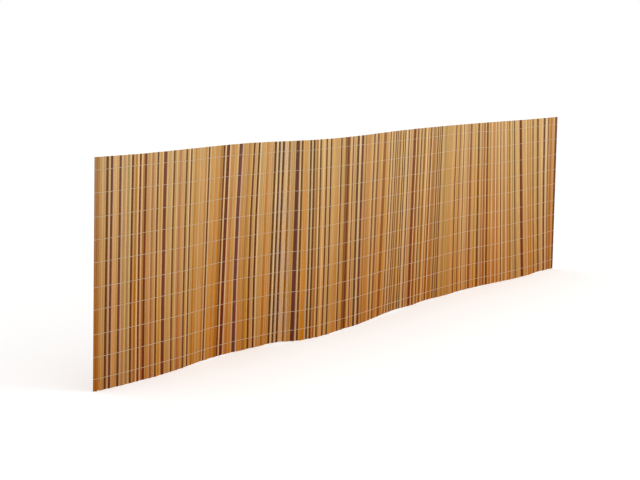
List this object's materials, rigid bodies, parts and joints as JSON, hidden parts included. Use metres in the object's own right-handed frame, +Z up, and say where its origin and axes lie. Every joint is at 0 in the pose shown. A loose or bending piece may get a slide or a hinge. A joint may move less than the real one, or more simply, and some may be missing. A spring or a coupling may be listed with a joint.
{
  "type": "privacy screen mat",
  "caption": "Garden or balcony privacy screen: upright plastic slats held side by side by level rows of stitching, standing on edge in gentle waves.",
  "frame": {"origin": "on the ground under the middle of the mat's box", "axes": "+X along the mat from its near end to its far end, +Y from the front to the back, +Z up along the slats"},
  "size_m": [4.9748, 0.1238, 1],
  "materials": {
    "slats": "satin, ochre, amber, straw and dark brown slats side by side",
    "stitching": "matte pale cord"
  },
  "bodies": {
    "root": {"slat_wall": "slats", "stitch_front_01": "stitching", "stitch_back_01": "stitching", "stitch_front_02": "stitching", "stitch_back_02": "stitching", "stitch_front_03": "stitching", "stitch_back_03": "stitching", "stitch_front_04": "stitching", "stitch_back_04": "stitching", "stitch_front_05": "stitching", "stitch_back_05": "stitching", "stitch_front_06": "stitching", "stitch_back_06": "stitching", "stitch_front_07": "stitching", "stitch_back_07": "stitching", "stitch_front_08": "stitching", "stitch_back_08": "stitching", "stitch_front_09": "stitching", "stitch_back_09": "stitching", "stitch_front_10": "stitching", "stitch_back_10": "stitching"}
  },
  "joints": []
}
